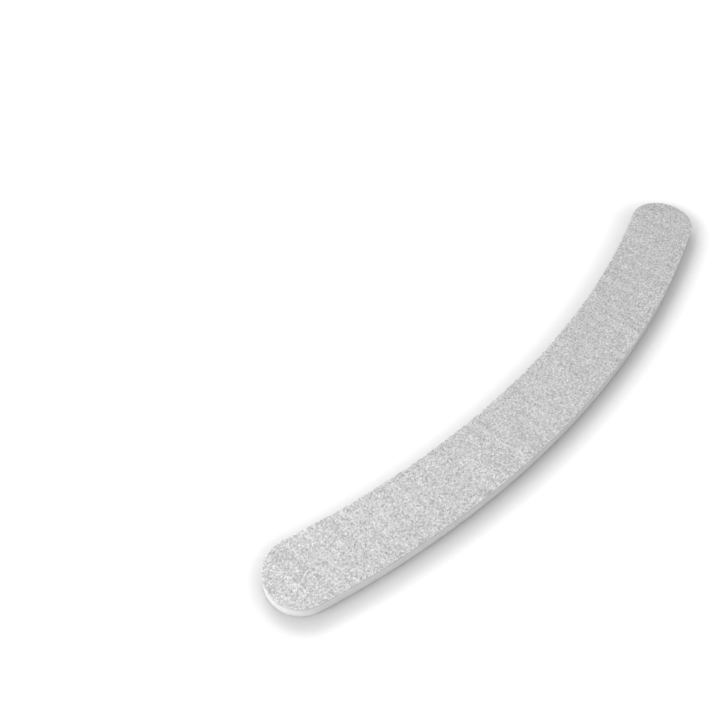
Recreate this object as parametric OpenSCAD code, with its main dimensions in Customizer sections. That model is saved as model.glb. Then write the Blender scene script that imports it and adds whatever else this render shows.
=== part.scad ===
// Curved emery board: an abrasive sheet on each face of a foam and plastic core.
// The sandwich is glued up flat and then die-cut in one stroke, so every layer follows the same bent outline.
// The origin lies on the resting plane, in the middle of the board's bounding box.
// X runs along the board, Y across it towards the hollow side, and Z up.

/* [Outline] */
// Overall length from one round end to the other
board_length = 178; // [150:1:200]
// Width across the lower sheet, which is the widest layer
board_width = 18.6; // [14:0.1:24]
// Radius of the bent middle line
bend_radius = 260; // [200:5:600]

/* [Abrasive sheets] */
// Thickness of the resin coat with its abrasive grain
grain_coat_t = 0.2; // [0.1:0.01:0.3]
// Thickness of the backing paper
paper_t = 0.2; // [0.1:0.01:0.3]
// Thickness of the adhesive film between a sheet and its foam
sheet_glue_t = 0.1; // [0.05:0.01:0.15]

/* [Core] */
// Thickness of each foam layer
foam_t = 1.2; // [0.9:0.05:2.4]
// Thickness of the adhesive film between the foam and the stiff strip
core_glue_t = 0.08; // [0.05:0.01:0.15]
// Thickness of the stiff strip
core_t = 0.5; // [0.3:0.05:1]

/* [Die-cut edge] */
// How far in from its cut edge the upper sheet starts to turn down
roll_reach = 0.5; // [0.2:0.05:0.55]
// Radius of that turn on the underside of the upper sheet
roll_inner_radius = 0.6; // [0.6:0.05:0.8]
// How far the lower sheet stands out past the upper one
cut_flare = 0.1; // [0.02:0.01:0.3]
// How far the foam is drawn in halfway up the cut edge
foam_draw_in = 0.15; // [0.05:0.01:0.3]
// How far the stiff strip stays inside the upper sheet's edge
core_setback = 0.2; // [0.05:0.01:1]

/* [Hidden] */
// Facets of the long bend and of the round ends
bend_facets = 720;
end_facets = 180;
// Straight steps that follow the turn of the upper sheet, and the hollow side of each foam layer
turn_steps = 6;
hollow_steps = 8;

// Half widths of the layers
lower_edge = board_width / 2;
upper_edge = lower_edge - cut_flare;
core_edge = upper_edge - core_setback;

// Bent middle line: half of its angle, its rise, and the middle of its arc
half_angle = asin((board_length / 2 - lower_edge) / bend_radius);
rise = bend_radius * (1 - cos(half_angle));
bend_centre_y = bend_radius - rise / 2;
// Angle that each end is swept past the middle before it is cut off there
past_middle_angle = 5;

// Heights of the layers, from the resting plane up
sheet_t = grain_coat_t + paper_t + sheet_glue_t;
lower_paper_z = grain_coat_t;
lower_film_z = lower_paper_z + paper_t;
lower_foam_z = lower_film_z + sheet_glue_t;
lower_core_film_z = lower_foam_z + foam_t;
core_z = lower_core_film_z + core_glue_t;
upper_core_film_z = core_z + core_t;
upper_foam_z = upper_core_film_z + core_glue_t;
upper_film_z = upper_foam_z + foam_t;
board_t = upper_film_z + sheet_t;

// Turn of the upper sheet: arcs about one centre, from the end of the flat face out to the cut edge
roll_radius = roll_inner_radius + sheet_t;
roll_centre_z = board_t - roll_radius;
flat_edge = upper_edge - roll_reach;
turn_stations = [for (i = [0:turn_steps]) flat_edge + roll_reach * i / turn_steps];

// What is cut away under a turned layer reaches past the layer's own edge and floor
cutter_edge = flat_edge + (roll_reach + roll_inner_radius) / 2;
cutter_floor_z = roll_centre_z - roll_inner_radius;

// Hollow side of the foam: one arc from the lower sheet up to where the upper film meets the cut
hollow_top_z = roll_centre_z + sqrt(pow(roll_inner_radius, 2) - pow(roll_reach, 2));
hollow_half = (hollow_top_z - lower_foam_z) / 2;
hollow_z = lower_foam_z + hollow_half;
hollow_radius = (pow(hollow_half, 2) + pow(foam_draw_in, 2)) / (2 * foam_draw_in);

// Half a cross-section has x out from the middle line and y up. Its points run from the middle, out along the
// underside, up the cut edge and back to the middle along the top.

// Flat layer, cut square
function flat_layer(edge, z, thickness) = [
    [0, z],
    [edge, z],
    [edge, z + thickness],
    [0, z + thickness]
];

// Height of the turned surface at a depth under the face
function turn_z(depth, x) =
    roll_centre_z + sqrt(pow(roll_radius - depth, 2) - pow(x - flat_edge, 2));

// Points down the turn at a depth under the face, from the last of the stations in to the flat
function turn(depth, stations) = [
    for (i = [len(stations) - 1:-1:0])
        [stations[i], turn_z(depth, stations[i])]
];

// All that lies between a floor and a depth under the face, out to an edge
function under_face(depth, edge, stations, floor_z) = concat(
    [[0, floor_z], [edge, floor_z]],
    turn(depth, stations),
    [[0, board_t - depth]]
);

// Points up the hollow side of the foam between two heights
function hollow(from_z, to_z) = [
    for (i = [0:hollow_steps])
        let (
            z = from_z + (to_z - from_z) * i / hollow_steps,
            bulge = sqrt(pow(hollow_radius, 2) - pow(z - hollow_z, 2))
        )
        [upper_edge - foam_draw_in + hollow_radius - bulge, z]
];

// Half a cross-section together with the mirror image of its points that lie off the middle line
function both_halves(half) = concat(
    half,
    [
        for (i = [len(half) - 1:-1:0])
            if (half[i][0] > 0)
                [-half[i][0], half[i][1]]
    ]
);

// The end of the board that points along +X, from past the middle to the round tip. The cross-section sweeps
// about the middle of the bend, and its half sweeps on round the tip from the same plane.
module swept_end(half) {
    translate([0, bend_centre_y, 0])
        rotate([0, 0, half_angle - 90]) {
            rotate_extrude(angle = -half_angle - past_middle_angle, $fn = bend_facets)
                translate([bend_radius, 0])
                    polygon(both_halves(half));
            translate([bend_radius, 0, 0])
                rotate_extrude(angle = 180, $fn = end_facets)
                    polygon(half);
        }
}

// All that lies on the +X side of the board's middle plane
module plus_x_side() {
    translate([0, -board_length, -board_t])
        cube([board_length, 2 * board_length, 3 * board_t]);
}

// Sweeps a cross-section along the whole outline: one end, cut off at the middle, and its mirror image
module along_outline(half) {
    for (side = [0, 1])
        mirror([side, 0, 0])
            intersection() {
                swept_end(half);
                plus_x_side();
            }
}

// Layer of the upper sheet, which is flat and then turns down; depth is that of its top under the face
module turned_layer(depth, thickness) {
    difference() {
        along_outline(under_face(depth, upper_edge, turn_stations, roll_centre_z));
        along_outline(under_face(
            depth + thickness,
            cutter_edge,
            concat(turn_stations, cutter_edge),
            cutter_floor_z
        ));
    }
}

module lower_grain_coat() {
    color("#c3c3c1")
        along_outline(flat_layer(lower_edge, 0, grain_coat_t));
}

module lower_backing_paper() {
    color("#f1f0ec")
        along_outline(flat_layer(lower_edge, lower_paper_z, paper_t));
}

module lower_adhesive_film() {
    color("#dcdad2")
        along_outline(flat_layer(lower_edge, lower_film_z, sheet_glue_t));
}

module lower_foam_layer() {
    color("#ececea")
        along_outline(concat(
            [[0, lower_foam_z]],
            hollow(lower_foam_z, lower_core_film_z),
            [[0, lower_core_film_z]]
        ));
}

module lower_core_adhesive() {
    color("#dcdad2")
        along_outline(flat_layer(core_edge, lower_core_film_z, core_glue_t));
}

module core_strip() {
    color("#f7f7f7")
        along_outline(flat_layer(core_edge, core_z, core_t));
}

module upper_core_adhesive() {
    color("#dcdad2")
        along_outline(flat_layer(core_edge, upper_core_film_z, core_glue_t));
}

module upper_foam_layer() {
    under_turn = turn(sheet_t, turn_stations);
    color("#ececea")
        along_outline(concat(
            [[0, upper_foam_z]],
            hollow(upper_foam_z, hollow_top_z),
            [for (i = [1:turn_steps]) under_turn[i]],
            [[0, upper_film_z]]
        ));
}

module upper_adhesive_film() {
    color("#dcdad2")
        turned_layer(grain_coat_t + paper_t, sheet_glue_t);
}

module upper_backing_paper() {
    color("#f1f0ec")
        turned_layer(grain_coat_t, paper_t);
}

module upper_grain_coat() {
    color("#c3c3c1")
        turned_layer(0, grain_coat_t);
}

lower_grain_coat();
lower_backing_paper();
lower_adhesive_film();
lower_foam_layer();
lower_core_adhesive();
core_strip();
upper_core_adhesive();
upper_foam_layer();
upper_adhesive_film();
upper_backing_paper();
upper_grain_coat();
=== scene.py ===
"""Looks of a curved emery board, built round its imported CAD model."""

import math
from functools import partial
import bpy
import numpy as np
from bpy.props import FloatProperty, FloatVectorProperty, PointerProperty
from bpy.types import Operator, Panel, PropertyGroup
from mathutils import Matrix, Vector, noise


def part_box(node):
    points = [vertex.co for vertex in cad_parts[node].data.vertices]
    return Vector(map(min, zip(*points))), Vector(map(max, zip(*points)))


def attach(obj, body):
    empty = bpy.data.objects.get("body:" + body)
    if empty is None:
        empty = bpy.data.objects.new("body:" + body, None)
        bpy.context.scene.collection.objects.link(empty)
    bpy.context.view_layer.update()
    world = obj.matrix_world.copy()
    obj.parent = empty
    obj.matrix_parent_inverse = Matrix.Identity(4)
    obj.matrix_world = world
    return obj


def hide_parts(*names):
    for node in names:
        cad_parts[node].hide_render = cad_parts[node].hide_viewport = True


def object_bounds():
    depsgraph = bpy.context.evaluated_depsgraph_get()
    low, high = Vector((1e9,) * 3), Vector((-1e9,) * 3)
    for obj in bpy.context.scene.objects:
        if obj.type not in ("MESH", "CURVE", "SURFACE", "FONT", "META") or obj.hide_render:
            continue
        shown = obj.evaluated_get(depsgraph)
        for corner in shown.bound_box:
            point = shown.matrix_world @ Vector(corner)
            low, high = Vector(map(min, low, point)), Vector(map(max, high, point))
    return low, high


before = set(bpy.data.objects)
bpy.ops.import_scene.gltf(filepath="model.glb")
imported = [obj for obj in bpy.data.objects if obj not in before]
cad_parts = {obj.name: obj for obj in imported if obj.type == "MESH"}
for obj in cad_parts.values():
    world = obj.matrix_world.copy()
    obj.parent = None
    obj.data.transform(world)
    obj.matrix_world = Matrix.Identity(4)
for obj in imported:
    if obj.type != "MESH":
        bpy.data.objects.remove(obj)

bl_info = {
    "name": "Curved emery board",
    "version": (1, 0, 0),
    "blender": (4, 5, 0),
    "location": "View3D > Sidebar > Emery board",
    "description": "Abrasive sheets, foam and stage for a curved emery board",
    "category": "Object",
}

CAD_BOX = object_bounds()
MM = 0.001
BODY = "root"

# Values of the cut attribute on the abrasive sheets, which is 0 on their faces
BARE = 1.0
BROKEN = 2.0

# How well the outline has to fit the CAD model, and the least distance that is divided by
FIT_TOLERANCE = 0.05 * MM
TINY = 1e-9

# Finer rows of a face's grid along its cut edge, as distances from the edge in steps of the grid
EDGE_ROWS = (0.0, 0.35, 0.8, 1.35, 2.0, 2.8)

# Rings of points down a broken grain edge, round the turn of a layer, and down the edge of the foam
EDGE_RINGS = 3
TURN_RINGS = 6
FOAM_RINGS = 12

# Distances between the points along the cut edges
PAPER_SPACING = 0.4 * MM
FILM_SPACING = 0.5 * MM
FOAM_SPACING = 0.3 * MM

# How far a grain may lie off its place in the grid, in steps of the grid
GRAIN_SHIFT = 0.5
# Clumps of grain: their size in grain spacings, and their share in the depth of the relief
CLUMP_SPACINGS = 3.2
CLUMP_SHARE = 0.38
# How much of the relief the die flattens at the rim, and where the rim has faded out, in rim widths
PRESSED_SHARE = 0.8
RIM_FADE = 1.5

# Waves in which an edge wanders, as (height, length): the pressed rim, torn grain, a thin layer and foam
RIM_WAVES = ((0.35, 0.7 * MM), (0.45, 0.25 * MM))
TORN_WAVES = ((1.0, 0.45 * MM), (0.6, 0.18 * MM))
CUT_WAVES = ((1.0, 0.9 * MM), (0.7, 0.3 * MM))
FOAM_WAVES = ((0.4, 2.2 * MM),)

# How far papers and films wander at their cut, and how far in from it they still do
PAPER_WANDER = 0.02 * MM
FILM_WANDER = 0.015 * MM
WANDER_DEPTH = 0.2 * MM

# Size of the foam's modelled cells in cells of its material, and how far from its middle each is a pit
PIT_SCALE = 1.4
PIT_REACH = 1.1

# Steps by which each seed moves the smooth noise and the pattern of cells
NOISE_STRIDES = (7.3, 3.1, 5.7)
CELL_STRIDES = (4.1, 6.7, 2.9)

# Room on the UV maps: between strips, and for the faces that lie hidden between two layers
MAP_GAP = 0.3 * MM
HIDDEN_TURN = 0.3 * MM
HIDDEN_STRIP = 2 * MM
# Growth of a map at each try to fit the strips in it
MAP_GROWTH = 1.02

# Width and place of the key lamp
KEY_SIZE = 200 * MM
KEY_PLACE = Vector((-290 * MM, 80 * MM, 220 * MM))
# Breadth of the back light, its direction from +X towards +Y, and its height above the horizon
BACK_BREADTH = math.radians(40)
BACK_AZIMUTH = math.radians(60)
BACK_ELEVATION = math.radians(32)

# The camera's sensor in millimetres, as its lens is, and the nearest and farthest that it sees
SENSOR_WIDTH = 36.0
NEAREST = 1 * MM
FARTHEST = 20.0


# Settings that a user would change


LengthProperty = partial(FloatProperty, unit="LENGTH", precision=5)
AngleProperty = partial(FloatProperty, subtype="ANGLE")
AmountProperty = partial(FloatProperty, min=0.0)
ColorProperty = partial(FloatVectorProperty, subtype="COLOR", min=0.0, max=1.0)


class BoardShape(PropertyGroup):
    """The die-cut outline and the form of its edge."""

    width: LengthProperty(name="Width", description="Width across the lower sheet", default=18.6 * MM)
    bend_radius: LengthProperty(
        name="Bend radius", description="Radius of the bent middle line", default=260 * MM
    )
    cut_flare: LengthProperty(
        name="Cut flare", description="How far the lower sheet stands out past the upper", default=0.1 * MM
    )
    turn_reach: LengthProperty(
        name="Turn reach",
        description="How far in from its cut edge the upper sheet starts to turn down",
        default=0.5 * MM,
    )
    turn_radius: LengthProperty(
        name="Turn radius", description="Radius of that turn on the face of the sheet", default=1.1 * MM
    )
    foam_draw_in: LengthProperty(
        name="Foam draw-in",
        description="How far the foam is drawn in halfway up the cut edge",
        default=0.15 * MM,
    )


class AbrasiveLook(PropertyGroup):
    """Grain, resin, paper and film of the two abrasive sheets."""

    grain_spacing: LengthProperty(
        name="Grain spacing", description="Distance between grains on the upper face", default=0.23 * MM
    )
    lower_spacing: LengthProperty(
        name="Lower spacing", description="Distance between grains on the lower face", default=0.26 * MM
    )
    relief: LengthProperty(
        name="Relief", description="Height from the resin up to the tips of the grain", default=0.05 * MM
    )
    rim_width: LengthProperty(
        name="Rim width", description="Width of the rim that the die has pressed pale", default=0.2 * MM
    )
    raggedness: LengthProperty(
        name="Raggedness",
        description="How far grains stand out of the cut or are torn from it",
        default=0.03 * MM,
    )
    grain_color: ColorProperty(
        name="Grain", description="Mean colour of the abrasive face", default=(0.685, 0.685, 0.685)
    )
    rim_color: ColorProperty(
        name="Pressed rim",
        description="Colour of the rim where the die has crushed the grain to pale powder",
        default=(0.82, 0.82, 0.82),
    )
    side_color: ColorProperty(
        name="Broken side",
        description="Colour of the broken grain along the cut edge",
        default=(0.64, 0.64, 0.64),
    )
    paper_color: ColorProperty(
        name="Paper", description="Colour of the backing paper", default=(0.86, 0.86, 0.85)
    )
    film_color: ColorProperty(
        name="Film", description="Colour of the adhesive film", default=(0.80, 0.80, 0.79)
    )


class CoreLook(PropertyGroup):
    """Foam layers and stiff strip."""

    cell_size: LengthProperty(
        name="Cell size", description="Size of the foam's cells at the cut edge", default=0.16 * MM
    )
    cell_depth: LengthProperty(
        name="Cell depth", description="Depth of the cells that the die has opened", default=0.03 * MM
    )
    foam_color: ColorProperty(name="Foam", description="Colour of the foam", default=(0.93, 0.93, 0.93))
    strip_color: ColorProperty(
        name="Stiff strip", description="Colour of the stiff strip", default=(0.93, 0.93, 0.93)
    )


class StageLook(PropertyGroup):
    """Floor, lamps and camera."""

    lens: FloatProperty(
        name="Lens", description="Focal length in millimetres on a sensor 36 mm wide", default=43.31
    )
    elevation: AngleProperty(
        name="Elevation", description="Angle of the camera above the horizon", default=math.radians(51.06)
    )
    heading: AngleProperty(
        name="Camera heading",
        description="Direction in which the camera looks, from +Y towards +X",
        default=math.radians(47.43),
    )
    camera_place: FloatVectorProperty(
        name="Camera place",
        description="Where the camera stands",
        default=(-134.63 * MM, -62.25 * MM, 187.91 * MM),
        subtype="TRANSLATION",
    )
    key_power: AmountProperty(
        name="Key lamp", description="Power of the round soft box to the left", default=0.52, unit="POWER"
    )
    back_strength: AmountProperty(
        name="Back light",
        description="Light of the broad lamp behind the board, where 1 shows a colour as it is",
        default=0.32,
    )
    sky_strength: AmountProperty(
        name="Sky", description="Light from all round, where 1 shows a colour as it is", default=0.54
    )
    floor_color: ColorProperty(
        name="Floor", description="Colour of the floor as it lights the board", default=(0.8, 0.8, 0.8)
    )
    # The camera sees the floor round the board darker than white: a painted shadow, deepest at the board's
    # edge
    painted_shadow_gain: AmountProperty(
        name="Contact gain",
        description="How pale the camera sees the floor at the board's edge, halfway along the board",
        default=0.7,
    )
    # How the painted shadow changes along the board: deeper at the end at -X, paler at the end at +X
    painted_shadow_slope: FloatProperty(
        name="Contact slope",
        description="How much paler it is at the end at +X, and how much darker at the end at -X",
        default=0.1,
    )
    white_gain: AmountProperty(
        name="White gain",
        description="How pale the camera sees the floor past the board's shadow, where it is plain white",
        default=1.5,
    )
    shadow_reach: LengthProperty(
        name="Shadow reach",
        description="Distance from the board at which the floor has turned white",
        default=12 * MM,
    )
    shadow_power: FloatProperty(
        name="Shadow power",
        description="Power of the distance by which the floor turns white, where 1 is an even rise",
        default=0.9,
        min=0.1,
    )


# The board's plan


class Plan:
    """Places on the board by the distance along its bent middle line and the distance across it.

    The line runs on straight past the two ends of the bend, so a round tip is a plain half circle in these
    distances too. The reach of a place is how far it lies from the bend, and all cut edges keep one reach.
    """

    def __init__(self, shape):
        low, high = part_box("lower_grain_coat")
        self.half_width = shape.width / 2
        self.bend_radius = shape.bend_radius
        half_length = (high.x - low.x) / 2 - self.half_width
        self.half_angle = math.asin(half_length / self.bend_radius)
        self.half_line = self.bend_radius * self.half_angle
        rise = self.bend_radius * (1 - math.cos(self.half_angle))
        self.bend_centre_y = self.bend_radius - rise / 2
        if abs(high.y - low.y - rise - shape.width) > FIT_TOLERANCE:
            raise RuntimeError("the width and the bend radius don't fit the CAD model's outline")

    def nearest(self, along):
        """The place on the bend that is nearest to each distance along the line."""
        return np.clip(along, -self.half_line, self.half_line)

    def reach(self, along, across):
        """How far each place lies from the bend."""
        return np.hypot(along - self.nearest(along), across)

    def set_out(self, along, across, reach):
        """The same stations moved straight out from the bend, or in towards it, to another reach."""
        start = self.nearest(along)
        scale = reach / np.maximum(np.hypot(along - start, across), TINY)
        return start + (along - start) * scale, across * scale

    def place(self, along, across, height):
        """Points in the frame."""
        start = self.nearest(along)
        angle = start / self.bend_radius
        past = along - start
        x = self.bend_radius * np.sin(angle) + past * np.cos(angle) - across * np.sin(angle)
        y = (
            self.bend_centre_y
            - self.bend_radius * np.cos(angle)
            + past * np.sin(angle)
            + across * np.cos(angle)
        )
        return np.stack([x, y, np.broadcast_to(height, x.shape)], axis=-1)

    def reach_on_floor(self, x, y):
        """How far places given by x and y lie from the bend."""
        angle = np.clip(np.arctan2(x, self.bend_centre_y - y), -self.half_angle, self.half_angle)
        return np.hypot(
            x - self.bend_radius * np.sin(angle),
            y - self.bend_centre_y + self.bend_radius * np.cos(angle),
        )

    def side(self, step):
        """Distances along the line, from one end of the bend to the other."""
        return np.linspace(-self.half_line, self.half_line, max(2, round(2 * self.half_line / step)) + 1)

    def edge_loop(self, reach, step):
        """Stations round the board at one reach, counter-clockwise from the tip at -X, as (along, across).

        The first half runs to the other tip, and the second half mirrors it back.
        """
        tip_steps = max(2, round(reach * math.pi / 2 / step))
        angles = (np.arange(tip_steps) + 0.5) / tip_steps * math.pi / 2
        side = self.side(step)
        along = np.concatenate([
            -self.half_line - reach * np.cos(angles),
            side,
            self.half_line + reach * np.cos(angles[::-1]),
        ])
        across = np.concatenate([
            -reach * np.sin(angles),
            np.full(len(side), -reach),
            -reach * np.sin(angles[::-1]),
        ])
        return np.concatenate([along, along[::-1]]), np.concatenate([across, -across[::-1]])

    def face_grid(self, reach, step):
        """A grid of stations that fills the outline, as (along, across), with finer rows along its edge.

        Each round tip is half a square, drawn out to half a circle.
        """
        edge_rows = np.array(EDGE_ROWS) * step
        inner_steps = round((reach - edge_rows[-1]) / step)
        inner = np.linspace(0, reach - edge_rows[-1], inner_steps + 1)[:-1]
        out = np.concatenate([inner, reach - edge_rows[::-1]]) / reach
        gap = out[1] / 2
        half = (out + gap) / (1 + gap)
        columns = np.concatenate([-half[::-1], half])
        side = self.side(step)
        tip = out[:0:-1]
        past = np.concatenate([-tip, np.zeros(len(side)), tip[::-1]])
        start = np.concatenate([
            np.full(len(tip), -self.half_line),
            side,
            np.full(len(tip), self.half_line),
        ])
        past, columns = np.meshgrid(past, columns, indexing="ij")
        along = start[:, None] + reach * past * np.sqrt(1 - columns**2 / 2)
        across = reach * columns * np.sqrt(1 - past**2 / 2)
        return along, across


# Meshes from rows of stations


def new_object(name, data):
    """An object in the scene."""
    made = bpy.data.objects.new(name, data)
    bpy.context.scene.collection.objects.link(made)
    return made


class Shell:
    """A closed skin of four-sided faces, made row by row, with a flat place for each on its UV map."""

    def __init__(self):
        self.points = []
        self.faces = []
        self.flat = []
        self.values = []
        self.count = 0

    def add_points(self, points, values=0.0):
        """Adds points with the value that each has for its material, and returns their numbers."""
        shape = points.shape[:-1]
        points = points.reshape(-1, 3)
        numbers = np.arange(self.count, self.count + len(points))
        self.points.append(points)
        self.values.append(np.broadcast_to(values, shape).reshape(-1))
        self.count += len(points)
        return numbers.reshape(shape)

    def add_faces(self, corners, flat):
        """Adds faces by the numbers of their corners, and the flat place of each corner in metres."""
        self.faces.append(corners.reshape(-1, 4))
        self.flat.append(flat.reshape(-1, 4, 2))

    def add_grid(self, numbers, along, across):
        """Adds the faces of a grid of points, seen from above."""
        flat = np.stack([along - along.min(), across - across.min()], axis=-1)
        self.add_faces(grid_corners(numbers), grid_corners(flat))

    def add_wall(self, rings, run, drop):
        """Adds the faces between closed rings, from the top one down.

        run is the distance round the ring at each station, and drop that down the wall at each ring.
        """
        rings = np.stack(rings)
        numbers = np.concatenate([rings, rings[:, :1]], axis=1).T
        flat = np.stack(np.meshgrid(run, drop, indexing="ij"), axis=-1)
        self.add_faces(grid_corners(numbers)[..., ::-1], grid_corners(flat)[:, :, ::-1])

    def close_across(self, ring, points, upwards):
        """Fills a ring with faces that each cross the board from one side to the other."""
        half = len(ring) // 2
        near = np.arange(half - 1)
        far = len(ring) - 1 - near
        corners = np.stack([near, far, far - 1, near + 1], axis=-1)
        if upwards:
            corners = corners[:, ::-1]
        # All these faces lie hidden between two layers, so they share a narrow strip of the map
        run = np.abs(points[:, 0] - points[:, 0].min())
        side = np.where(np.arange(len(ring)) < half, 0.0, HIDDEN_STRIP)
        self.add_faces(ring[corners], np.stack([run, side], axis=-1)[corners])

    def build(self, name, material):
        """Makes the object."""
        mesh = bpy.data.meshes.new(name)
        points = np.concatenate(self.points)
        faces = np.concatenate(self.faces)
        mesh.from_pydata(points.tolist(), [], faces.tolist())
        values = mesh.attributes.new("cut", "FLOAT", "POINT")
        values.data.foreach_set("value", np.concatenate(self.values).astype(np.float32))
        uv_map = mesh.uv_layers.new(name="OFBake")
        uv_map.uv.foreach_set("vector", strip_map(self.flat).astype(np.float32).ravel())
        mesh.materials.append(material)
        mesh.shade_smooth()
        mesh.validate()
        return new_object(name, mesh)


def grid_corners(grid):
    """The four corners of every cell of a grid, counter-clockwise where the first axis runs right."""
    return np.stack([grid[:-1, :-1], grid[1:, :-1], grid[1:, 1:], grid[:-1, 1:]], axis=2)


def strip_map(patches):
    """Cuts long patches into strips and stacks them in the unit square, all at one scale."""
    sizes = [(patch[..., 0].max(), patch[..., 1].max() + MAP_GAP) for patch in patches]
    longest_face = max(float(np.ptp(patch[..., 0], axis=1).max()) for patch in patches)
    side = math.sqrt(sum(length * width for length, width in sizes))
    while sum(math.ceil(length / side) * width for length, width in sizes) > side:
        side *= MAP_GROWTH
    side += longest_face + MAP_GAP
    run = side - longest_face - MAP_GAP
    packed = []
    base = MAP_GAP / 2
    for patch, (length, width) in zip(patches, sizes):
        strip = np.minimum(patch[..., 0].min(axis=1) // run, math.ceil(length / run) - 1)
        along = patch[..., 0] - strip[:, None] * run + MAP_GAP / 2
        up = patch[..., 1] + strip[:, None] * width + base
        packed.append(np.stack([along, up], axis=-1) / side)
        base += math.ceil(length / run) * width
    return np.concatenate(packed).reshape(-1, 2)


def rim_of(grid):
    """The border of a grid in the order of Plan.edge_loop."""
    middle = grid.shape[1] // 2
    return np.concatenate([
        grid[0, middle - 1 :: -1],
        grid[1:-1, 0],
        grid[-1, :],
        grid[-2:0:-1, -1],
        grid[0, : middle - 1 : -1],
    ])


def sampled(pattern, points, size, strides, seed):
    """The value of a pattern at each point, on the scale of a size and moved by a seed."""
    offset = Vector([seed * stride for stride in strides])
    places = points.reshape(-1, 3) / size
    values = np.array([pattern(Vector(place) + offset) for place in places])
    return values.reshape(points.shape[:-1])


def drift(points, size, seed):
    """Smooth noise from -1 to 1 at each point, whose waves are about as long as size."""
    return sampled(noise.noise, points, size, NOISE_STRIDES, seed)


def wander(points, waves, seeds):
    """Smooth noise at each point, in waves of (height, length), each with a seed of its own."""
    return sum(height * drift(points, length, seed) for (height, length), seed in zip(waves, seeds))


def from_cell_middle(place):
    """Distance of a place from the middle of its cell in a random pattern."""
    return noise.voronoi(place)[0][0]


def cells(points, size, seed):
    """0 in the middle of each cell of a random pattern, rising to 1 and more at its walls."""
    return sampled(from_cell_middle, points, size, CELL_STRIDES, seed)


def top_of(node):
    """Height of the top of a CAD layer."""
    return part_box(node)[1].z


def bottom_of(node):
    """Height of the lowest part of a CAD layer."""
    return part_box(node)[0].z


def ring_run(plan, along, across):
    """Distance round a ring at each of its stations, and once more where it closes."""
    points = plan.place(along, across, 0.0)
    steps = np.linalg.norm(np.roll(points, -1, axis=0) - points, axis=1)
    return np.concatenate([[0.0], np.cumsum(steps)])


# Grain coats


def turn_drop(shape, inset, depth=0.0):
    """How far a surface so deep in the upper sheet has turned down at a distance in from its cut edge."""
    past_flat = np.clip(shape.turn_reach - inset, 0.0, None)
    radius = shape.turn_radius - depth
    return radius - np.sqrt(radius**2 - past_flat**2)


def grain_relief(points, spacing, seed):
    """Depth of each point under the tips of the grain, from 0 at a tip to 1 in the resin between."""
    single = np.random.default_rng(seed).random(points.shape[:-1])
    clump = drift(points, spacing * CLUMP_SPACINGS, seed) * 0.5 + 0.5
    return np.clip((1 - CLUMP_SHARE) * single + CLUMP_SHARE * clump, 0.0, 1.0)


def grain_face(plan, reach, step, seed):
    """Stations of an abrasive face, moved a little off their grid but for two rows along its border."""
    along, across = plan.face_grid(reach, step)
    draws = np.random.default_rng(seed).random((2, *along.shape))
    shift = (draws - 0.5) * GRAIN_SHIFT * step
    shift[:, :2] = shift[:, -2:] = 0.0
    shift[:, :, :2] = shift[:, :, -2:] = 0.0
    return along + shift[0], across + shift[1]


def edge_mask(plan, along, across, inset, look):
    """BARE on the rim that the die has pressed, falling to 0 on the face, along a line that wanders."""
    flat = plan.place(along, across, 0.0)
    fade = RIM_FADE - inset / look.rim_width - wander(flat, RIM_WAVES, seeds=(15, 16))
    return BARE * np.clip(fade, 0.0, 1.0)


def grain_surface(plan, reach, z, spacing, look, seed):
    """Stations of a face of grain, with how far in from the cut each lies, its depth and its mask."""
    along, across = grain_face(plan, reach, spacing, seed)
    inset = reach - plan.reach(along, across)
    depth = grain_relief(plan.place(along, across, z), spacing, seed + 1)
    return along, across, inset, depth, edge_mask(plan, along, across, inset, look)


def torn_rings(shell, plan, stations, reach, heights, look, seed):
    """Rings of points at heights down a broken edge, out of which grains stand or are torn."""
    rings = []
    for index, z in enumerate(heights):
        seeds = (seed + index, seed + 10 + index)
        torn = wander(plan.place(*stations, z), TORN_WAVES, seeds)
        ragged = plan.set_out(*stations, reach + look.raggedness * torn)
        rings.append(shell.add_points(plan.place(*ragged, z), BROKEN))
    return rings


def add_upper_grain(plan, shape, look, material):
    """The upper abrasive face: grain on top, turned down to a ragged cut edge."""
    reach = plan.half_width - shape.cut_flare
    face = top_of("upper_grain_coat")
    thickness = face - top_of("upper_backing_paper")
    surface = grain_surface(plan, reach, face, look.grain_spacing, look, seed=11)
    along, across, inset, depth, rim = surface
    pressed = depth + (0.5 - depth) * PRESSED_SHARE * rim
    height = face - turn_drop(shape, inset) - look.relief * pressed
    shell = Shell()
    numbers = shell.add_points(plan.place(along, across, height), rim)
    shell.add_grid(numbers, along, across)

    stations = (rim_of(along), rim_of(across))
    run = ring_run(plan, *stations)
    edge_z = face - turn_drop(shape, 0.0) - look.relief * 0.5
    low_z = face - thickness - turn_drop(shape, 0.0, thickness)
    heights = np.linspace(edge_z, low_z, EDGE_RINGS + 1)[1:]
    rings = [rim_of(numbers), *torn_rings(shell, plan, stations, reach, heights, look, seed=20)]
    shell.add_wall(rings, run, np.concatenate([[0.0], edge_z - heights + look.relief]))
    under = plan.place(*plan.set_out(*stations, reach - shape.turn_reach), face - thickness)
    inner = shell.add_points(under)
    shell.add_wall([rings[-1], inner], run, np.array([0.0, HIDDEN_TURN]))
    shell.close_across(inner, under, upwards=False)
    return shell.build("upper_grain", material)


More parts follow.
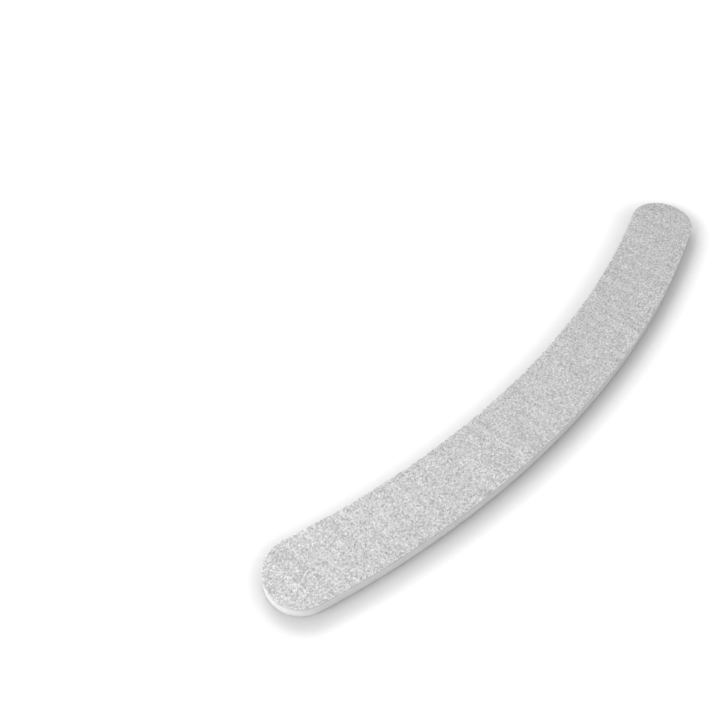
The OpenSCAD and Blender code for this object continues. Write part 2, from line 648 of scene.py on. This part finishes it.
def add_lower_grain(plan, look, material):
    """The lower abrasive face, whose tips of grain rest on the floor, with its cut edge."""
    reach = plan.half_width
    top = top_of("lower_grain_coat")
    surface = grain_surface(plan, reach, 0.0, look.lower_spacing, look, seed=41)
    along, across, _, depth, rim = surface
    shell = Shell()
    numbers = shell.add_points(plan.place(along, across, look.relief * depth), rim)
    shell.add_grid(numbers[:, ::-1], along[:, ::-1], -across[:, ::-1])

    stations = (rim_of(along), rim_of(across))
    heights = np.linspace(top, look.relief, EDGE_RINGS)
    rings = [*torn_rings(shell, plan, stations, reach, heights, look, seed=50), rim_of(numbers)]
    shell.add_wall(rings, ring_run(plan, *stations), np.concatenate([top - heights, [top]]))
    shell.close_across(rings[0], plan.place(*stations, top), upwards=True)
    return shell.build("lower_grain", material)


# Layers under the grain


def add_layer(plan, name, material, stations, rings, reaches):
    """A layer from rings of (reach, height) that run from its top down its cut edge to its underside.

    stations are the places round the board, and reaches has the reach of every station on each ring.
    """
    shell = Shell()
    numbers = []
    for reach, (_, z) in zip(reaches, rings):
        numbers.append(shell.add_points(plan.place(*plan.set_out(*stations, reach), z)))
    drops = [math.dist(above, below) for above, below in zip(rings, rings[1:])]
    shell.add_wall(numbers, ring_run(plan, *stations), np.cumsum([0.0, *drops]))
    for ring, (reach, z), upwards in ((numbers[0], rings[0], True), (numbers[-1], rings[-1], False)):
        shell.close_across(ring, plan.place(*plan.set_out(*stations, reach), z), upwards)
    return shell.build(name, material)


def add_band(plan, name, material, rings, rough, spacing, seed):
    """A thin layer from rings of (reach, height), whose cut edge wanders as far as rough says."""
    outer = max(reach for reach, _ in rings)
    stations = plan.edge_loop(outer, spacing)
    reaches = []
    for reach, z in rings:
        at_cut = reach > outer - WANDER_DEPTH
        moved = rough * wander(plan.place(*stations, z), CUT_WAVES, (seed, seed + 1))
        reaches.append(reach + moved * at_cut)
    return add_layer(plan, name, material, stations, rings, reaches)


def upper_sheet_rings(plan, shape, node, below):
    """Rings of one layer of the upper sheet, which nests in the turn of the layers above it."""
    reach = plan.half_width - shape.cut_flare
    face = top_of("upper_grain_coat")
    top = top_of(node)
    low = top_of(below)
    insets = np.linspace(shape.turn_reach, 0.0, TURN_RINGS)
    over = [(reach - inset, top - turn_drop(shape, inset, face - top)) for inset in insets]
    under = [(reach - inset, low - turn_drop(shape, inset, face - low)) for inset in insets[::-1]]
    return over + under


def lower_sheet_rings(plan, node, count):
    """Rings of one layer of the lower sheet, which is flat and cut square."""
    return [(plan.half_width, z) for z in np.linspace(top_of(node), bottom_of(node), count)]


def add_foam(plan, look, name, material, rings, seed):
    """A foam layer with opened cells, from rings of (reach, height, share of the cells' depth)."""
    stations = plan.edge_loop(max(reach for reach, _, _ in rings), FOAM_SPACING)
    reaches = []
    for reach, z, share in rings:
        level = plan.place(*plan.set_out(*stations, reach), z)
        pit = np.clip(PIT_REACH - cells(level, look.cell_size * PIT_SCALE, seed), 0.0, 1.0)
        wave = wander(level, FOAM_WAVES, (seed,))
        reaches.append(reach - share * look.cell_depth * (pit + wave))
    return add_layer(plan, name, material, stations, [ring[:2] for ring in rings], reaches)


class FoamEdge:
    """The drawn-in edge of the two foam layers: one arc from the lower film up to the upper film's cut."""

    def __init__(self, plan, shape):
        self.outer = plan.half_width - shape.cut_flare
        face = top_of("upper_grain_coat")
        sheet = face - top_of("upper_foam_layer")
        turn_centre = face - shape.turn_radius
        inner_radius = shape.turn_radius - sheet
        self.top = turn_centre + math.sqrt(inner_radius**2 - shape.turn_reach**2)
        self.low = bottom_of("lower_foam_layer")
        half = (self.top - self.low) / 2
        self.middle = self.low + half
        self.draw_in = shape.foam_draw_in
        self.radius = (half**2 + self.draw_in**2) / (2 * self.draw_in)

    def reach(self, z):
        """Reach of the arc at a height."""
        return self.outer - self.draw_in + self.radius - math.sqrt(self.radius**2 - (z - self.middle) ** 2)

    def rings(self, high, low):
        """Rings down the arc between two heights."""
        return [(self.reach(z), z, 1.0) for z in np.linspace(high, low, FOAM_RINGS)]

    def turned_rings(self, shape):
        """Rings out under the turn of the upper sheet, whose cells are whole."""
        top = top_of("upper_foam_layer")
        depth = top_of("upper_grain_coat") - top
        return [
            (self.outer - inset, top - turn_drop(shape, inset, depth), 0.0)
            for inset in np.linspace(shape.turn_reach, 0.0, TURN_RINGS)[:-1]
        ]


# Materials


COLOR = "NodeSocketColor"
FLOAT = "NodeSocketFloat"
VECTOR = "NodeSocketVector"


def grey(level):
    """A grey as a colour with alpha."""
    return (level, level, level, 1.0)


def color_of(color):
    """A property's colour with alpha."""
    return (*color, 1.0)


class Tree:
    """A short way to place and join nodes."""

    def __init__(self, tree):
        self.nodes = tree.nodes
        self.links = tree.links

    def add(self, kind, inputs=None, **settings):
        """Adds a node. Inputs are values, or sockets to join."""
        node = self.nodes.new(kind)
        for name, value in settings.items():
            setattr(node, name, value)
        for name, value in (inputs or {}).items():
            if isinstance(value, bpy.types.NodeSocket):
                self.links.new(value, node.inputs[name])
            else:
                node.inputs[name].default_value = value
        return node

    def place(self):
        """Places in the object's own frame."""
        return self.add("ShaderNodeTexCoord").outputs["Object"]

    def math(self, operation, first, second):
        """The result of a Math node."""
        return self.add("ShaderNodeMath", {0: first, 1: second}, operation=operation).outputs[0]

    def vector(self, operation, first, second):
        """The result of a Vector Math node."""
        return self.add("ShaderNodeVectorMath", {0: first, 1: second}, operation=operation).outputs[0]

    def scale(self, size):
        """The scale of a texture that repeats at about a size."""
        return self.math("DIVIDE", 1.0, size)

    def noise(self, place, scale, detail, roughness=0.5):
        """The outputs of a Noise Texture node."""
        inputs = {"Vector": place, "Scale": scale, "Detail": detail, "Roughness": roughness}
        return self.add("ShaderNodeTexNoise", inputs).outputs

    def spread(self, value, low, high, to_low=0.0, to_high=1.0):
        """A value mapped from one range to another, and held at its ends."""
        inputs = {"Value": value, "From Min": low, "From Max": high, "To Min": to_low, "To Max": to_high}
        return self.add("ShaderNodeMapRange", inputs).outputs["Result"]

    def blend(self, mask, first, second, blend_type="MIX"):
        """Two colours mixed by a mask, in the numbered sockets that a Mix node has for colours."""
        inputs = {0: mask, 6: first, 7: second}
        return self.add("ShaderNodeMix", inputs, data_type="RGBA", blend_type=blend_type).outputs[2]

    def level(self, gain):
        """A grey whose level a socket gives."""
        return self.add("ShaderNodeCombineColor", {"Red": gain, "Green": gain, "Blue": gain}).outputs[0]

    def toned(self, color, change, amount):
        """A colour made paler or darker by an amount of a change that goes both ways from 0."""
        gain = self.math("ADD", self.math("MULTIPLY", change, amount), 1.0)
        return self.blend(1.0, color, self.level(gain), "MULTIPLY")


def new_group(name, inputs, outputs):
    """A shader node group with named sockets, its tree and its input sockets."""
    group = bpy.data.node_groups.new(name, "ShaderNodeTree")
    for socket, (kind, default) in inputs.items():
        item = group.interface.new_socket(name=socket, in_out="INPUT", socket_type=kind)
        item.default_value = default
    for socket, kind in outputs.items():
        group.interface.new_socket(name=socket, in_out="OUTPUT", socket_type=kind)
    tree = Tree(group)
    return group, tree, tree.add("NodeGroupInput").outputs


def mottle_group():
    """Soft changes of tone. A squeeze above 1 shortens them along its axis, and below 1 draws them out."""
    group, tree, given = new_group("Mottle", {
        "Color": (COLOR, grey(0.8)),
        "Size": (FLOAT, 4 * MM),
        "Amount": (FLOAT, 0.05),
        "Squeeze": (VECTOR, (1.0, 1.0, 1.0)),
    }, {"Color": COLOR, "Mask": FLOAT})
    place = tree.vector("MULTIPLY", tree.place(), given["Squeeze"])
    waves = tree.noise(place, tree.scale(given["Size"]), 3.0)["Fac"]
    change = tree.math("MULTIPLY", tree.math("SUBTRACT", waves, 0.5), 2.0)
    tinted = tree.toned(given["Color"], change, given["Amount"])
    tree.add("NodeGroupOutput", {"Color": tinted, "Mask": waves})
    return group


def grit_group():
    """Crushed mineral grain in clear resin: light and dark chips in clumps, with painted shade darkening
    the borders between them.
    """
    group, tree, given = new_group("Grit", {
        "Color": (COLOR, grey(0.6)),
        "Chip Size": (FLOAT, 0.2 * MM),
        "Clump Size": (FLOAT, 0.6 * MM),
        "Contrast": (FLOAT, 0.3),
    }, {"Color": COLOR, "Height": FLOAT, "Roughness": FLOAT})
    place = tree.place()
    chip_scale = tree.scale(given["Chip Size"])
    fine = tree.noise(place, tree.math("MULTIPLY", chip_scale, 2.5), 2.0)
    clumps = tree.noise(place, tree.scale(given["Clump Size"]), 2.0)["Fac"]
    # The fine noise pushes the borders of the chips about, so that they are jagged
    centred = tree.vector("SUBTRACT", fine["Color"], (0.5, 0.5, 0.5))
    push = tree.add("ShaderNodeVectorMath", {0: centred, "Scale": given["Chip Size"]}, operation="SCALE")
    jagged = {"Vector": tree.vector("ADD", place, push.outputs[0]), "Scale": chip_scale}
    chips = tree.add("ShaderNodeTexVoronoi", jagged).outputs["Color"]
    edge = tree.add("ShaderNodeTexVoronoi", jagged, feature="DISTANCE_TO_EDGE").outputs["Distance"]
    tone = tree.add("ShaderNodeSeparateColor", {"Color": chips}).outputs["Red"]
    chip_part = tree.math("ADD", tree.math("SUBTRACT", tone, 0.5), tree.math("SUBTRACT", fine["Fac"], 0.5))
    clump_part = tree.spread(clumps, 0.25, 0.75, to_low=-0.35, to_high=0.35)
    # Painted shade: the chips' borders, which the bump makes low, are darkened
    painted_gap_shade = tree.spread(edge, 0.0, 0.1, to_low=-0.4, to_high=0.0)
    change = tree.math("ADD", tree.math("ADD", chip_part, clump_part), painted_gap_shade)
    dome = tree.math("MULTIPLY", tree.spread(edge, 0.0, 0.3), tree.spread(tone, 0.0, 1.0, to_low=0.4))
    tree.add("NodeGroupOutput", {
        "Color": tree.toned(given["Color"], change, given["Contrast"]),
        "Height": tree.math("ADD", dome, tree.math("MULTIPLY", fine["Fac"], 0.5)),
        "Roughness": tree.spread(tone, 0.0, 1.0, to_low=0.95, to_high=0.65),
    })
    return group


def dust_group():
    """Fine grey abrasive dust that clings to a cut edge in patches."""
    group, tree, given = new_group("Cut dust", {
        "Color": (COLOR, grey(0.8)),
        "Dust Color": (COLOR, grey(0.5)),
        "Amount": (FLOAT, 0.2),
        "Size": (FLOAT, 0.4 * MM),
    }, {"Color": COLOR, "Mask": FLOAT})
    specks = tree.noise(tree.place(), tree.scale(given["Size"]), 4.0, roughness=0.7)["Fac"]
    mask = tree.math("MULTIPLY", tree.spread(specks, 0.52, 0.72), given["Amount"])
    dusted = tree.blend(mask, given["Color"], given["Dust Color"])
    tree.add("NodeGroupOutput", {"Color": dusted, "Mask": mask})
    return group


EFFECTS = {"Mottle": mottle_group, "Grit": grit_group, "Cut dust": dust_group}


def placed(tree, name, inputs):
    """Places one of the node groups in a material. The first use of a group builds it."""
    group = bpy.data.node_groups.get(name) or EFFECTS[name]()
    return tree.add("ShaderNodeGroup", inputs, node_tree=group).outputs


def empty_tree(owner):
    """The tree of a material or a world, emptied."""
    owner.use_nodes = True
    owner.node_tree.nodes.clear()
    return Tree(owner.node_tree)


def new_material(name):
    """A material and its empty tree."""
    material = bpy.data.materials.new(name)
    return material, empty_tree(material)


def add_surface(tree, inputs, height, distance, strength):
    """A Principled BSDF with a height as its bump, joined to the material's output."""
    bump = tree.add("ShaderNodeBump", {"Height": height, "Distance": distance, "Strength": strength})
    surface = tree.add("ShaderNodeBsdfPrincipled", {"Normal": bump.outputs["Normal"], **inputs})
    tree.add("ShaderNodeOutputMaterial", {"Surface": surface.outputs["BSDF"]})


def abrasive_material(look):
    """Light grey mineral grain, faintly streaked across the board, darker where the die has broken it."""
    material, tree = new_material("Abrasive grain")
    cut = tree.add("ShaderNodeAttribute", attribute_name="cut").outputs["Fac"]
    rim = tree.blend(tree.spread(cut, 0.0, BARE), color_of(look.grain_color), color_of(look.rim_color))
    base = tree.blend(tree.spread(cut, BARE, BROKEN), rim, color_of(look.side_color))
    broad = placed(tree, "Mottle", {"Color": base, "Size": 5 * MM, "Amount": 0.07})
    streaks = placed(tree, "Mottle", {
        "Color": broad["Color"],
        "Size": 2 * MM,
        "Amount": 0.2,
        "Squeeze": (1.0, 0.08, 1.0),
    })
    grit = placed(tree, "Grit", {
        "Color": streaks["Color"],
        "Chip Size": 0.16 * MM,
        "Clump Size": 0.6 * MM,
        "Contrast": tree.spread(cut, 0.0, BARE, to_low=0.72, to_high=0.45),
    })
    surface = {"Base Color": grit["Color"], "Roughness": grit["Roughness"], "Specular IOR Level": 0.25}
    add_surface(tree, surface, grit["Height"], distance=0.03 * MM, strength=0.6)
    return material


def paper_material(look):
    """Off-white backing paper with fibres, dusty where it is cut."""
    material, tree = new_material("Backing paper")
    fibres = placed(tree, "Mottle", {
        "Color": color_of(look.paper_color),
        "Size": 0.5 * MM,
        "Amount": 0.06,
        "Squeeze": (1.0, 1.0, 4.0),
    })
    dust = placed(tree, "Cut dust", {"Color": fibres["Color"], "Amount": 0.25, "Size": 0.3 * MM})
    surface = {"Base Color": dust["Color"], "Roughness": 0.9, "Specular IOR Level": 0.2}
    add_surface(tree, surface, fibres["Mask"], distance=0.02 * MM, strength=0.4)
    return material


def film_material(look):
    """Adhesive film that has picked up dust along the cut."""
    material, tree = new_material("Adhesive film")
    broad = placed(tree, "Mottle", {"Color": color_of(look.film_color), "Size": 1.5 * MM, "Amount": 0.08})
    dust = placed(tree, "Cut dust", {"Color": broad["Color"], "Amount": 0.4, "Size": 0.25 * MM})
    roughness = tree.spread(dust["Mask"], 0.0, 0.4, to_low=0.35, to_high=0.8)
    surface = {"Base Color": dust["Color"], "Roughness": roughness}
    add_surface(tree, surface, broad["Mask"], distance=0.01 * MM, strength=0.3)
    return material


def foam_material(look):
    """Fine white closed-cell foam, cut open, with painted shade in the middles of its opened cells."""
    material, tree = new_material("White foam")
    broad = placed(tree, "Mottle", {"Color": color_of(look.foam_color), "Size": 3 * MM, "Amount": 0.07})
    dust = placed(tree, "Cut dust", {"Color": broad["Color"], "Amount": 0.2, "Size": 0.45 * MM})
    cell = tree.add("ShaderNodeTexVoronoi", {"Vector": tree.place(), "Scale": 1 / look.cell_size})
    walls = tree.spread(cell.outputs["Distance"], 0.1, 0.7)
    # Painted shade: the middles of the cells, which the bump makes into pits, are darkened towards grey
    shaded = tree.blend(tree.spread(walls, 0.0, 1.0, to_low=0.2, to_high=0.0), dust["Color"], grey(0.5))
    surface = {"Base Color": shaded, "Roughness": 0.85, "Specular IOR Level": 0.3}
    add_surface(tree, surface, walls, distance=0.03 * MM, strength=0.8)
    return material


def strip_material(look):
    """Smooth white plastic with the fine drag lines that a die leaves."""
    material, tree = new_material("Stiff plastic")
    lines = placed(tree, "Mottle", {
        "Color": color_of(look.strip_color),
        "Size": 0.4 * MM,
        "Amount": 0.05,
        "Squeeze": (1.0, 1.0, 0.1),
    })
    dust = placed(tree, "Cut dust", {"Color": lines["Color"], "Amount": 0.15, "Size": 0.3 * MM})
    surface = {"Base Color": dust["Color"], "Roughness": 0.4}
    add_surface(tree, surface, lines["Mask"], distance=0.01 * MM, strength=0.3)
    return material


# Floor, light and camera


def seen(tree):
    """1 for what the camera sees, straight or in glass and gloss, and 0 for what lights the board."""
    path = tree.add("ShaderNodeLightPath").outputs
    mirrored = tree.math("MAXIMUM", path["Is Glossy Ray"], path["Is Transmission Ray"])
    return tree.math("MAXIMUM", path["Is Camera Ray"], mirrored)


def floor_lines(low, high):
    """Places of the floor's grid lines: fine round the board, and then one far out on each side."""
    margin = 20 * MM
    cell = 1 * MM
    far_out = 3.0
    fine = np.arange(low - margin, high + margin, cell)
    return np.concatenate([[-far_out], fine, [far_out]])


def floor_paleness(stage, plan, x, y):
    """How pale the camera sees the floor: a painted shadow right at the board, and past its shadow plain
    white.
    """
    distance = plan.reach_on_floor(x, y) - plan.half_width
    rise = np.clip(distance / stage.shadow_reach, 0.0, 1.0) ** stage.shadow_power
    # The painted shadow at the board's edge: darker towards the end at -X, paler towards the end at +X
    contact = stage.painted_shadow_gain + stage.painted_shadow_slope * np.clip(x / CAD_BOX[1].x, -1.0, 1.0)
    return contact + (stage.white_gain - contact) * rise


def floor_material(stage):
    """Plain paint in the floor's colour, and to the camera as pale as each place on the floor says, which
    round the board is a painted shadow.
    """
    material, tree = new_material("Studio floor")
    gain = tree.add("ShaderNodeAttribute", attribute_name="paleness").outputs["Fac"]
    # To the camera the floor takes its paleness, painted shadow included; to the lamps it keeps its colour
    color = tree.blend(seen(tree), color_of(stage.floor_color), tree.level(gain))
    paint = tree.add("ShaderNodeBsdfDiffuse", {"Color": color})
    tree.add("ShaderNodeOutputMaterial", {"Surface": paint.outputs["BSDF"]})
    return material


def add_floor(stage, plan):
    """A plain pale floor that keeps the board's shadow, has a painted shadow round the board for the
    camera, and is white to the camera past it.
    """
    low, high = CAD_BOX
    x, y = np.meshgrid(floor_lines(low.x, high.x), floor_lines(low.y, high.y), indexing="ij")
    points = np.stack([x, y, np.zeros_like(x)], axis=-1).reshape(-1, 3)
    faces = grid_corners(np.arange(x.size).reshape(x.shape)).reshape(-1, 4)
    mesh = bpy.data.meshes.new("floor")
    mesh.from_pydata(points.tolist(), [], faces.tolist())
    paleness = mesh.attributes.new("paleness", "FLOAT", "POINT")
    paleness.data.foreach_set("value", floor_paleness(stage, plan, x, y).astype(np.float32).ravel())
    mesh.materials.append(floor_material(stage))
    new_object("floor", mesh)


def add_world(stage):
    """Light from all round, white where the camera sees it."""
    world = bpy.data.worlds.new("Studio")
    tree = empty_tree(world)
    strength = tree.spread(seen(tree), 0.0, 1.0, to_low=stage.sky_strength)
    sky = tree.add("ShaderNodeBackground", {"Color": grey(1.0), "Strength": strength})
    tree.add("ShaderNodeOutputWorld", {"Surface": sky.outputs["Background"]})
    bpy.context.scene.world = world


def add_key_lamp(stage):
    """A round soft box to the left, aimed at the board."""
    light = bpy.data.lights.new("key", "AREA")
    light.shape = "DISK"
    light.size = KEY_SIZE
    light.energy = stage.key_power
    turn = KEY_PLACE.to_track_quat("Z", "Y").to_matrix().to_4x4()
    new_object("key", light).matrix_world = Matrix.Translation(KEY_PLACE) @ turn


def add_back_light(stage):
    """A broad light from behind, so far away that it reaches the whole floor alike."""
    light = bpy.data.lights.new("back", "SUN")
    light.angle = BACK_BREADTH
    light.energy = stage.back_strength * math.pi
    place = Vector((
        math.cos(BACK_ELEVATION) * math.cos(BACK_AZIMUTH),
        math.cos(BACK_ELEVATION) * math.sin(BACK_AZIMUTH),
        math.sin(BACK_ELEVATION),
    ))
    new_object("back", light).matrix_world = place.to_track_quat("Z", "Y").to_matrix().to_4x4()


def add_camera(stage):
    """The camera, at the photograph's viewing angle."""
    lens = bpy.data.cameras.new("Camera")
    lens.lens = stage.lens
    lens.sensor_width = SENSOR_WIDTH
    lens.clip_start = NEAREST
    lens.clip_end = FARTHEST
    camera = new_object("Camera", lens)
    turn = Matrix.Rotation(-stage.heading, 4, "Z") @ Matrix.Rotation(math.pi / 2 - stage.elevation, 4, "X")
    camera.matrix_world = Matrix.Translation(stage.camera_place) @ turn
    bpy.context.scene.camera = camera


# Operators


def settle(piece, slot, *nodes):
    """Puts a piece on the board in place of the CAD layers that it stands for."""
    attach(piece, BODY)
    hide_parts(*nodes)


def dress(node, material):
    """Gives a CAD layer that is shown as it is its finished material."""
    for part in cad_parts[node].material_slots:
        part.material = material


class EMERY_OT_stage(Operator):
    """Adds the floor, the light and the camera"""

    bl_idname = "emery.stage"
    bl_label = "Stage"

    def execute(self, context):
        stage = context.scene.emery_stage
        add_floor(stage, Plan(context.scene.emery_shape))
        add_world(stage)
        add_key_lamp(stage)
        add_back_light(stage)
        add_camera(stage)
        context.scene.view_settings.view_transform = "Standard"
        return {"FINISHED"}


class EMERY_OT_abrasive_faces(Operator):
    """Adds the two faces of abrasive grain"""

    bl_idname = "emery.abrasive_faces"
    bl_label = "Abrasive faces"

    def execute(self, context):
        shape = context.scene.emery_shape
        look = context.scene.emery_abrasive
        plan = Plan(shape)
        material = abrasive_material(look)
        upper = add_upper_grain(plan, shape, look, material)
        settle(upper, "abrasive_grain", "upper_grain_coat")
        lower = add_lower_grain(plan, look, material)
        settle(lower, "abrasive_grain", "lower_grain_coat")
        return {"FINISHED"}


class EMERY_OT_backing_papers(Operator):
    """Adds the backing papers under the grain"""

    bl_idname = "emery.backing_papers"
    bl_label = "Backing papers"

    def execute(self, context):
        shape = context.scene.emery_shape
        plan = Plan(shape)
        material = paper_material(context.scene.emery_abrasive)
        upper_rings = upper_sheet_rings(plan, shape, "upper_backing_paper", "upper_adhesive_film")
        lower_rings = lower_sheet_rings(plan, "lower_backing_paper", count=3)
        for side, rings, seed in (("upper", upper_rings, 71), ("lower", lower_rings, 73)):
            paper = add_band(plan, f"{side}_paper", material, rings, PAPER_WANDER, PAPER_SPACING, seed)
            settle(paper, "backing_paper", f"{side}_backing_paper")
        return {"FINISHED"}


class EMERY_OT_adhesive_films(Operator):
    """Adds the adhesive films that hold the sheets on the foam, and finishes those of the core"""

    bl_idname = "emery.adhesive_films"
    bl_label = "Adhesive films"

    def execute(self, context):
        shape = context.scene.emery_shape
        plan = Plan(shape)
        material = film_material(context.scene.emery_abrasive)
        upper_rings = upper_sheet_rings(plan, shape, "upper_adhesive_film", "upper_foam_layer")
        lower_rings = lower_sheet_rings(plan, "lower_adhesive_film", count=2)
        for side, rings, seed in (("upper", upper_rings, 75), ("lower", lower_rings, 77)):
            film = add_band(plan, f"{side}_film", material, rings, FILM_WANDER, FILM_SPACING, seed)
            settle(film, "adhesive_film", f"{side}_adhesive_film")
            dress(f"{side}_core_adhesive", material)
        return {"FINISHED"}


class EMERY_OT_foam_layers(Operator):
    """Adds the two foam layers with their drawn-in cut sides"""

    bl_idname = "emery.foam_layers"
    bl_label = "Foam layers"

    def execute(self, context):
        shape = context.scene.emery_shape
        look = context.scene.emery_core
        plan = Plan(shape)
        edge = FoamEdge(plan, shape)
        material = foam_material(look)
        upper_rings = edge.turned_rings(shape) + edge.rings(edge.top, bottom_of("upper_foam_layer"))
        lower_rings = edge.rings(top_of("lower_foam_layer"), edge.low)
        for side, rings, seed in (("upper", upper_rings, 81), ("lower", lower_rings, 83)):
            foam = add_foam(plan, look, f"{side}_foam", material, rings, seed)
            settle(foam, "foam", f"{side}_foam_layer")
        return {"FINISHED"}


class EMERY_OT_core_strip(Operator):
    """Finishes the stiff strip in the middle of the core"""

    bl_idname = "emery.core_strip"
    bl_label = "Stiff strip"

    def execute(self, context):
        dress("core_strip", strip_material(context.scene.emery_core))
        return {"FINISHED"}


class EMERY_PT_board(Panel):
    """Sidebar panel with the board's settings and steps"""

    bl_idname = "EMERY_PT_board"
    bl_label = "Emery board"
    bl_space_type = "VIEW_3D"
    bl_region_type = "UI"
    bl_category = "Emery board"

    def draw(self, context):
        layout = self.layout
        for name in SETTINGS:
            group = getattr(context.scene, name)
            box = layout.box()
            for item in group.bl_rna.properties:
                if item.identifier not in ("rna_type", "name"):
                    box.prop(group, item.identifier)
        for step in STEPS:
            layout.operator(step.bl_idname)


SETTINGS = {
    "emery_shape": BoardShape,
    "emery_abrasive": AbrasiveLook,
    "emery_core": CoreLook,
    "emery_stage": StageLook,
}
STEPS = (
    EMERY_OT_stage,
    EMERY_OT_abrasive_faces,
    EMERY_OT_backing_papers,
    EMERY_OT_adhesive_films,
    EMERY_OT_foam_layers,
    EMERY_OT_core_strip,
)
CLASSES = (*SETTINGS.values(), *STEPS, EMERY_PT_board)


def register():
    for cls in CLASSES:
        bpy.utils.register_class(cls)
    for name, group in SETTINGS.items():
        setattr(bpy.types.Scene, name, PointerProperty(type=group))


def unregister():
    for name in SETTINGS:
        delattr(bpy.types.Scene, name)
    for cls in reversed(CLASSES):
        bpy.utils.unregister_class(cls)


def main():
    register()
    bpy.ops.emery.stage()
    bpy.ops.emery.abrasive_faces()
    bpy.ops.emery.backing_papers()
    bpy.ops.emery.adhesive_films()
    bpy.ops.emery.foam_layers()
    bpy.ops.emery.core_strip()


if __name__ == "__main__":
    main()
